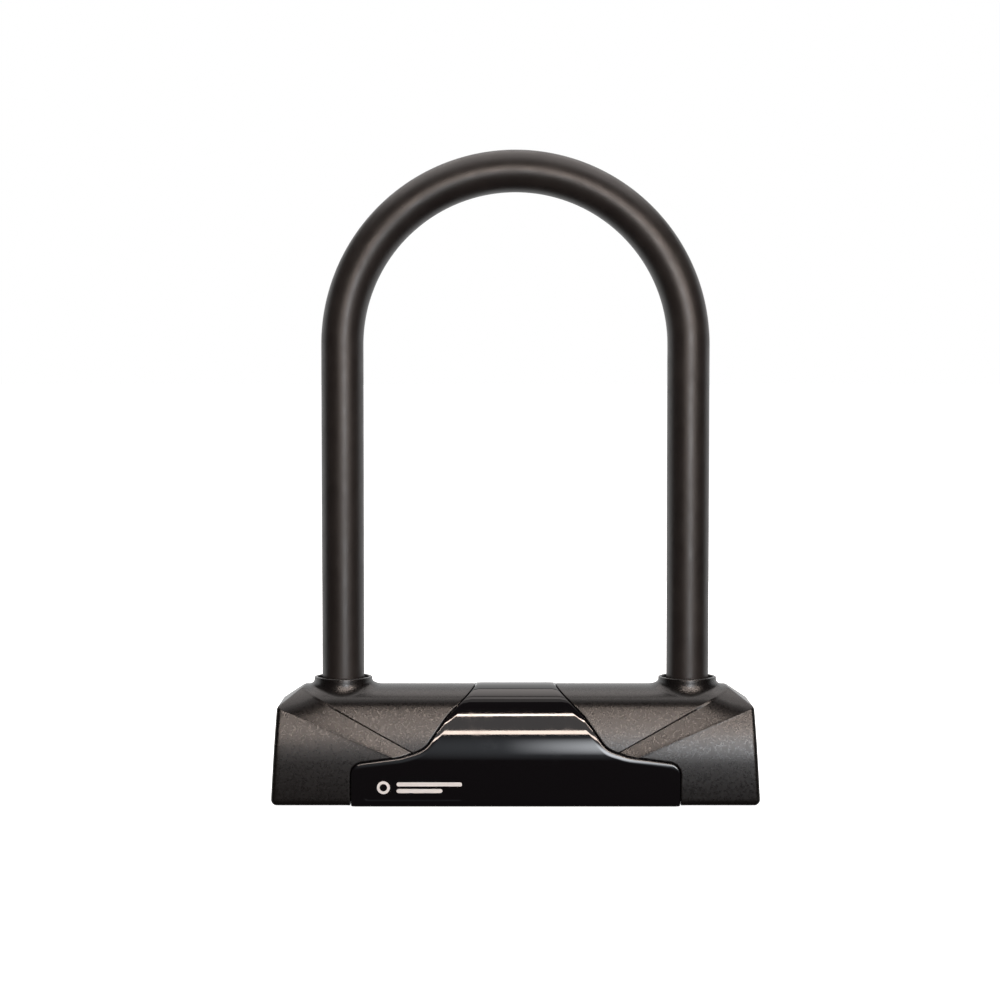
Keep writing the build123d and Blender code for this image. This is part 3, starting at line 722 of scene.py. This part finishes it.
def make_sleeve(material):
    """Vinyl sleeve: a round tube swept up one leg, over the arch and down the other, with rounded ends."""
    radius = SLEEVE_HIGH[1]
    low = SLEEVE_LOW[2]
    leg = SLEEVE_HIGH[0] - radius
    arch = SLEEVE_HIGH[2] - radius - leg
    bore = BAR_HIGH[1] + SLEEVE_BORE_GAP
    path = [(leg, z, 0.0) for z in np.linspace(low, arch, 60)]
    path += [(leg * math.cos(a), arch + leg * math.sin(a), a) for a in np.linspace(0, math.pi, 181)[1:-1]]
    path += [(-leg, z, math.pi) for z in np.linspace(arch, low, 60)]

    def end_stations(place):
        rounding = [(place, bore, SLEEVE_BORE_DEPTH), (place, bore, 0.0)]
        for turn in np.radians((0, 30, 60, 90)):
            inward, rise = SLEEVE_END_R * (1 - math.sin(turn)), SLEEVE_END_R * (1 - math.cos(turn))
            rounding.append((place, radius - inward, rise))
        return rounding

    stations = end_stations(path[0])
    stations += [(place, radius, 0.0) for place in path[1:-1]]
    stations += end_stations(path[-1])[::-1]
    around = np.linspace(0, 2 * math.pi, 73)[:-1]
    vertices = []
    for (x, z, turn), size, rise in stations:
        for angle in around:
            reach = size * math.cos(angle)
            place = (x + reach * math.cos(turn), size * math.sin(angle), z + reach * math.sin(turn) + rise)
            vertices.append(place)
    shell = Shell("vinyl_sleeve")
    shell.add(vertices, quads(len(stations), len(around), closed=True))
    shell.build(material, "shackle", "shackle_sleeve")


# --------------------------------------------------------------------------------------- the print


def make_print(material):
    """Plain white mark printed on the band: a ring, and two bars beside it."""
    shell = Shell("band_print")
    middle_s = float(BAND_SECTION.s_at_height(PRINT_Z))
    turn = np.linspace(0, 2 * math.pi, int(2 * math.pi * RING_HOLE_R / 0.25))
    rows = []
    for radius in np.linspace(RING_R, RING_HOLE_R, 3):
        row = np.column_stack([RING_X + radius * np.cos(turn), middle_s + radius * np.sin(turn)])
        rows.append(band_surface(row, PRINT_LIFT))
    shell.add(np.vstack(rows), quads(len(rows), len(turn)))
    half = STRIPE_HEIGHT / 2
    for side, length in zip((-1, 1), STRIPE_LENGTHS):
        s = middle_s + side * STRIPE_ASIDE
        right = arc_points((STRIPE_X + length - half, s), half, -math.pi / 2, math.pi / 2, 0.2)
        left = arc_points((STRIPE_X + half, s), half, math.pi / 2, 1.5 * math.pi, 0.2)
        flat, faces = filled(joined([right, left]), [], 0.6)
        shell.add(band_surface(flat, PRINT_LIFT), faces)
    shell.build(material, "crossbar", None)


def make_panel_line(material):
    """Low bead moulded in the band, round the lower left corner of the printed panel."""
    path = rounded_line(BEAD_START, [(BEAD_CORNER, BEAD_CORNER_R)], BEAD_END, 0.4)
    along = lengths(path)
    height = BEAD_HEIGHT * np.clip(np.minimum(along, along[-1] - along) / BEAD_TAPER, 0, 1)
    rows = []
    for offset in np.linspace(-BEAD_HALF_WIDTH, BEAD_HALF_WIDTH, 7):
        line = offset_line(path, offset)
        lift = height * math.cos(offset / BEAD_HALF_WIDTH * math.pi / 2) ** 2 - BEAD_SINK
        rows.append(BAND_SECTION.raised(line[:, 0], BAND_SECTION.s_at_height(line[:, 1]), lift))
    shell = Shell("panel_line")
    shell.add(np.vstack(rows), quads(len(rows), len(path)))
    shell.build(material, "crossbar", None)


# --------------------------------------------------------------------------------------- materials


def shader(name, color, roughness, metallic=0.0, specular=0.5):
    """A new material and its Principled shader."""
    material = bpy.data.materials.new(name)
    material.use_nodes = True
    principled = material.node_tree.nodes["Principled BSDF"]
    principled.inputs["Base Color"].default_value = (*color, 1)
    principled.inputs["Roughness"].default_value = roughness
    principled.inputs["Metallic"].default_value = metallic
    principled.inputs["Specular IOR Level"].default_value = specular
    return material, principled


def noise(material, scale, detail, roughness=0.55):
    """Noise over the object's own coordinates, scale in cells per metre."""
    tree = material.node_tree
    place = tree.nodes.new("ShaderNodeTexCoord")
    texture = tree.nodes.new("ShaderNodeTexNoise")
    texture.inputs["Scale"].default_value = scale
    texture.inputs["Detail"].default_value = detail
    texture.inputs["Roughness"].default_value = roughness
    tree.links.new(place.outputs["Object"], texture.inputs["Vector"])
    return texture.outputs["Fac"]


def vary_roughness(material, principled, value, low, high, from_low=0.35, from_high=0.65):
    """Spreads the roughness over a range by a noise."""
    tree = material.node_tree
    mapped = tree.nodes.new("ShaderNodeMapRange")
    mapped.inputs["From Min"].default_value = from_low
    mapped.inputs["From Max"].default_value = from_high
    mapped.inputs["To Min"].default_value = low
    mapped.inputs["To Max"].default_value = high
    tree.links.new(value, mapped.inputs["Value"])
    tree.links.new(mapped.outputs["Result"], principled.inputs["Roughness"])


def tint(material, principled, value, dark, light):
    """Blends the base colour between two by a noise."""
    tree = material.node_tree
    ramp = tree.nodes.new("ShaderNodeValToRGB")
    ramp.color_ramp.elements[0].position = 0.35
    ramp.color_ramp.elements[1].position = 0.65
    ramp.color_ramp.elements[0].color = (*dark, 1)
    ramp.color_ramp.elements[1].color = (*light, 1)
    tree.links.new(value, ramp.inputs["Fac"])
    tree.links.new(ramp.outputs["Color"], principled.inputs["Base Color"])


def bump(material, principled, heights):
    """Stacks bumps, each (height output, distance in metres, strength)."""
    tree = material.node_tree
    last = None
    for value, distance, strength in heights:
        node = tree.nodes.new("ShaderNodeBump")
        node.inputs["Distance"].default_value = distance
        node.inputs["Strength"].default_value = strength
        tree.links.new(value, node.inputs["Height"])
        if last:
            tree.links.new(last, node.inputs["Normal"])
        last = node.outputs["Normal"]
    tree.links.new(last, principled.inputs["Normal"])


def vinyl_material():
    """Satin dip-moulded vinyl: faint orange peel, fine pores and rubbed patches."""
    material, principled = shader("vinyl", (0.022, 0.018, 0.017), 0.45)
    tint(material, principled, noise(material, 60, 5), (0.014, 0.0115, 0.011), (0.019, 0.016, 0.015))
    vary_roughness(material, principled, noise(material, 140, 6), 0.34, 0.42)
    peel = noise(material, 260, 2)
    pores = noise(material, 1900, 3)
    bump(material, principled, [(peel, 0.00012, 0.25), (pores, 0.00004, 0.35)])
    return material


def grain_material():
    """Moulded plastic with a fine spark-eroded grain."""
    material, principled = shader("grained_plastic", (0.009, 0.0075, 0.0075), 0.3)
    tint(material, principled, noise(material, 45, 5), (0.0040, 0.0034, 0.0034), (0.0060, 0.0050, 0.0049))
    vary_roughness(material, principled, noise(material, 900, 4), 0.25, 0.34)
    grain = noise(material, 5200, 2, 0.5)
    pits = noise(material, 2500, 2, 0.5)
    bump(material, principled, [(pits, 0.00004, 0.28), (grain, 0.00003, 0.18)])
    return material


def gloss_material():
    """High-gloss moulded plastic: slight ripples, hazy smudges and a very fine unevenness."""
    material, principled = shader("gloss_plastic", (0.0045, 0.004, 0.005), 0.08)
    vary_roughness(material, principled, noise(material, 90, 8, 0.7), 0.03, 0.10, 0.45, 0.80)
    ripples = noise(material, 45, 1)
    unevenness = noise(material, 3000, 2)
    bump(material, principled, [(ripples, 0.00010, 0.06), (unevenness, 0.00001, 0.10)])
    return material


def rubber_material():
    """Moulded rubber."""
    material, principled = shader("rubber", (0.014, 0.013, 0.013), 0.75, specular=0.35)
    vary_roughness(material, principled, noise(material, 500, 5), 0.65, 0.85)
    bump(material, principled, [(noise(material, 1500, 3), 0.00008, 0.5)])
    return material


def metal_material(name, dark, light, rough_low, rough_high, grain):
    """Machined or plated metal: tint and roughness vary, with fine tool marks."""
    material, principled = shader(name, light, rough_low, metallic=1.0)
    tint(material, principled, noise(material, 110, 6), dark, light)
    vary_roughness(material, principled, noise(material, 420, 5), rough_low, rough_high)
    bump(material, principled, [(noise(material, grain, 3), 0.00003, 0.4)])
    return material


def print_material():
    """White pad-printed ink."""
    material, principled = shader("white_print", (0.82, 0.82, 0.82), 0.45)
    vary_roughness(material, principled, noise(material, 1200, 4), 0.38, 0.55)
    bump(material, principled, [(noise(material, 4000, 2), 0.00001, 0.4)])
    return material


# Dark and light tint, lowest and highest roughness, and the tool marks' noise scale
METALS = {
    "hardened_steel": ((0.26, 0.26, 0.27), (0.38, 0.38, 0.39), 0.28, 0.42, 900),
    "zinc_steel": ((0.50, 0.50, 0.50), (0.66, 0.66, 0.65), 0.30, 0.48, 1400),
    "brass": ((0.62, 0.44, 0.20), (0.78, 0.58, 0.30), 0.24, 0.36, 1100),
}
MATERIALS = {
    "vinyl": vinyl_material(),
    "grained_plastic": grain_material(),
    "gloss_plastic": gloss_material(),
    "rubber": rubber_material(),
}
MATERIALS.update({name: metal_material(name, *values) for name, values in METALS.items()})


# -------------------------------------------------------------------------------------- the studio


def math_node(tree, operation, *values):
    """A maths node fed with sockets or numbers, and its result."""
    node = tree.nodes.new("ShaderNodeMath")
    node.operation = operation
    for value, socket in zip(values, node.inputs):
        if isinstance(value, float):
            socket.default_value = value
        else:
            tree.links.new(value, socket)
    return node.outputs[0]


def fade_edges(data):
    """Fades a rectangular light from its middle to nothing at its edges."""
    data.use_nodes = True
    tree = data.node_tree
    surface = tree.nodes.new("ShaderNodeNewGeometry")
    split = tree.nodes.new("ShaderNodeSeparateXYZ")
    tree.links.new(surface.outputs["Parametric"], split.inputs["Vector"])
    turns = [math_node(tree, "MULTIPLY", split.outputs[axis], math.pi) for axis in ("X", "Y")]
    across, up = (math_node(tree, "SINE", turn) for turn in turns)
    tree.links.new(math_node(tree, "MULTIPLY", across, up), tree.nodes["Emission"].inputs["Strength"])


def area_light(name, place, aim, width, height, radiance, color=(1, 1, 1), soft=False):
    """A rectangular light that faces a point, sizes in metres. A soft one fades towards its edges."""
    data = bpy.data.lights.new(name, "AREA")
    data.shape = "RECTANGLE"
    data.size = width
    data.size_y = height
    data.energy = radiance * math.pi * width * height
    data.color = color
    if soft:
        fade_edges(data)
    light = bpy.data.objects.new(name, data)
    light.location = place
    light.rotation_euler = (Vector(aim) - Vector(place)).to_track_quat("-Z", "Y").to_euler()
    light.visible_camera = False
    bpy.context.scene.collection.objects.link(light)


def front_light(name, bearing, elevation, width, height, radiance, color, soft=False):
    """A light in front, placed and sized in degrees as seen from the crossbar's middle."""
    middle = Vector((0, 0, 0.04))
    turn, rise = math.radians(bearing), math.radians(elevation)
    toward = Vector((math.sin(turn) * math.cos(rise), -math.cos(turn) * math.cos(rise), math.sin(rise)))
    wide, tall = (2 * LIGHT_DISTANCE * math.tan(math.radians(angle / 2)) for angle in (width, height))
    area_light(name, middle + toward * LIGHT_DISTANCE, middle, wide, tall, radiance, color, soft)


def make_floor():
    """Plain white floor that glows a little, as studio paper does. From below it is clear."""
    material, principled = shader("floor_paper", (0.86, 0.86, 0.86), 0.9, specular=0.1)
    principled.inputs["Emission Color"].default_value = (1, 1, 1, 1)
    principled.inputs["Emission Strength"].default_value = 1.1
    tree = material.node_tree
    side = tree.nodes.new("ShaderNodeNewGeometry")
    clear = tree.nodes.new("ShaderNodeBsdfTransparent")
    mix = tree.nodes.new("ShaderNodeMixShader")
    tree.links.new(side.outputs["Backfacing"], mix.inputs["Fac"])
    tree.links.new(principled.outputs["BSDF"], mix.inputs[1])
    tree.links.new(clear.outputs["BSDF"], mix.inputs[2])
    tree.links.new(mix.outputs["Shader"], tree.nodes["Material Output"].inputs["Surface"])
    mesh = bpy.data.meshes.new("studio_floor")
    mesh.from_pydata([(-30, -30, 0), (30, -30, 0), (30, 30, 0), (-30, 30, 0)], [], [(0, 1, 2, 3)])
    mesh.materials.append(material)
    floor = bpy.data.objects.new("studio_floor", mesh)
    floor.visible_glossy = False
    floor.visible_diffuse = False
    bpy.context.scene.collection.objects.link(floor)


def make_world():
    """White for the camera, dim for everything else."""
    world = bpy.data.worlds.new("studio")
    bpy.context.scene.world = world
    world.use_nodes = True
    tree = world.node_tree
    tree.nodes.clear()
    seen = tree.nodes.new("ShaderNodeBackground")
    seen.inputs["Color"].default_value = (1, 1, 1, 1)
    seen.inputs["Strength"].default_value = 1.0
    lit = tree.nodes.new("ShaderNodeBackground")
    lit.inputs["Color"].default_value = (1.0, 0.97, 0.95, 1)
    lit.inputs["Strength"].default_value = 0.03
    path = tree.nodes.new("ShaderNodeLightPath")
    mix = tree.nodes.new("ShaderNodeMixShader")
    output = tree.nodes.new("ShaderNodeOutputWorld")
    tree.links.new(path.outputs["Is Camera Ray"], mix.inputs["Fac"])
    tree.links.new(lit.outputs["Background"], mix.inputs[1])
    tree.links.new(seen.outputs["Background"], mix.inputs[2])
    tree.links.new(mix.outputs["Shader"], output.inputs["Surface"])


def make_camera():
    """Camera in front of the lock, tipped down a little."""
    data = bpy.data.cameras.new("camera")
    data.lens = 90
    data.sensor_width = 36
    camera = bpy.data.objects.new("camera", data)
    camera.location = CAMERA_PLACE
    camera.rotation_euler = (math.radians(90 - CAMERA_TIP), 0, 0)
    bpy.context.scene.collection.objects.link(camera)
    bpy.context.scene.camera = camera


make_camera()
make_world()
make_floor()
area_light("overhead", (0, 0.45, 1.5), (0, 0.45, 0.1), 2.4, 1.7, 1.9, (1.0, 0.93, 0.90))
area_light("backdrop", (0, 1.2, -0.5), (0, 0, -0.5), 12.0, 3.6, 1.0)
front_light("top_front", 12, 67, 56, 22, 0.7, (1.0, 0.95, 0.92))
front_light("low_panel", 14, 2, 60, 18, 1.1, (0.84, 0.92, 1.0), soft=True)
front_light("high_panel", 12, 16, 56, 12, 1.1, (1.0, 0.95, 0.93))
front_light("bright_strip", 12, 11.2, 56, 2.4, 26, (1.0, 0.82, 0.71))
front_light("thin_strip", 12, 22.6, 56, 1.2, 46, (1.0, 0.82, 0.71))
front_light("window", 12, 2, 24, 11, 20, (0.93, 0.96, 1.0), soft=True)

make_band(MATERIALS["gloss_plastic"])
make_print(print_material())
make_panel_line(MATERIALS["gloss_plastic"])
make_cover("right_end_cover", MATERIALS["grained_plastic"], "right_cover", False)
make_cover("left_end_cover", MATERIALS["grained_plastic"], "left_cover", True)
make_sleeve(MATERIALS["vinyl"])

SLOTS = {subpart["node"]: subpart["material_slot"] for subpart in frame["record"]["subparts"]}
for node, piece in frame["nodes"].items():
    for slot in piece.material_slots:
        slot.material = MATERIALS[SLOTS[node]]

bpy.context.scene.view_settings.view_transform = "Standard"
